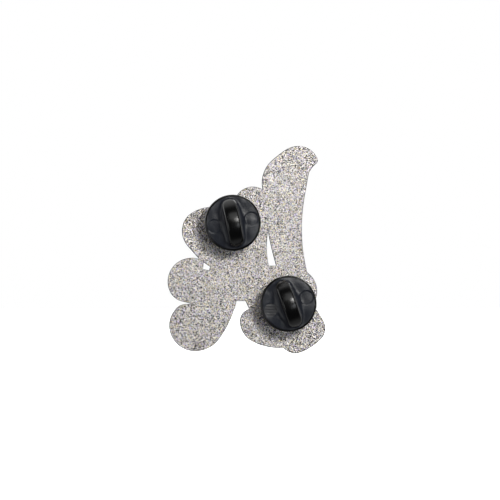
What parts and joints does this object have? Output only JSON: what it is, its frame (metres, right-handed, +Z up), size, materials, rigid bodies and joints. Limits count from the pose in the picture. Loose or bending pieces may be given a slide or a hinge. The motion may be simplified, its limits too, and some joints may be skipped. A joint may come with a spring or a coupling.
{
  "type": "enamel pin",
  "caption": "Flat die-struck lapel pin in a flower-and-leaf outline, soft enamel front, sand-blasted nickel back, nail posts and pull-off black rubber clutches.",
  "frame": {"origin": "on the flat back face of the plate, midway between the two posts", "axes": "+Z up as worn, along the longest side; +Y out of the back, along the posts; the enamel faces -Y"},
  "size_m": [0.0288, 0.0108, 0.0378],
  "materials": {
    "plate_nickel": "struck steel with bright nickel plating, sand-blasted back, polished raised lines",
    "post_steel": "drawn steel nail, nickel plated",
    "solder_tin": "tin solder under nickel plating",
    "clutch_rubber": "moulded soft black PVC rubber, satin, with ejector marks",
    "enamel_rose": "soft enamel, rose, glossy, recessed",
    "enamel_coral": "soft enamel, coral, glossy, recessed",
    "enamel_plum": "soft enamel, plum, glossy, recessed",
    "enamel_blush": "soft enamel, pale blush, glossy, recessed",
    "enamel_amber": "soft enamel, amber, glossy, recessed",
    "enamel_teal": "soft enamel, teal, glossy, recessed",
    "enamel_green": "soft enamel, leaf green, glossy, recessed"
  },
  "bodies": {
    "badge": {"backplate": "plate_nickel", "enamel_petal_upper_left": "enamel_rose", "enamel_petal_left": "enamel_coral", "enamel_petal_leg": "enamel_rose", "enamel_petal_notch": "enamel_plum", "enamel_petal_low": "enamel_coral", "enamel_petal_right": "enamel_rose", "enamel_petal_bump": "enamel_coral", "enamel_petal_top": "enamel_coral", "enamel_leaf_inner_low": "enamel_green", "enamel_leaf_inner_mid": "enamel_green", "enamel_leaf_inner_high": "enamel_green", "enamel_leaf_curl": "enamel_green", "enamel_leaf_outer_low": "enamel_teal", "enamel_leaf_outer_mid": "enamel_teal", "enamel_leaf_outer_high": "enamel_teal", "enamel_leaf_tip": "enamel_teal", "enamel_heart_ring": "enamel_plum", "enamel_heart_eye": "enamel_amber", "enamel_accent_upper_left": "enamel_blush", "enamel_accent_left": "enamel_blush", "enamel_accent_leg": "enamel_blush", "enamel_accent_low": "enamel_blush", "enamel_accent_right": "enamel_blush", "enamel_accent_top": "enamel_blush", "post_upper": "post_steel", "post_lower": "post_steel", "solder_upper": "solder_tin", "solder_lower": "solder_tin"},
    "upper_clutch": {"clutch_upper": "clutch_rubber"},
    "lower_clutch": {"clutch_lower": "clutch_rubber"}
  },
  "joints": [
    {"name": "clutch_upper_slide", "type": "slide", "parent": "badge", "child": "upper_clutch", "axis": [0, 1, 0], "range_m": [0, 0.014]},
    {"name": "clutch_lower_slide", "type": "slide", "parent": "badge", "child": "lower_clutch", "axis": [0, 1, 0], "range_m": [0, 0.014]}
  ]
}
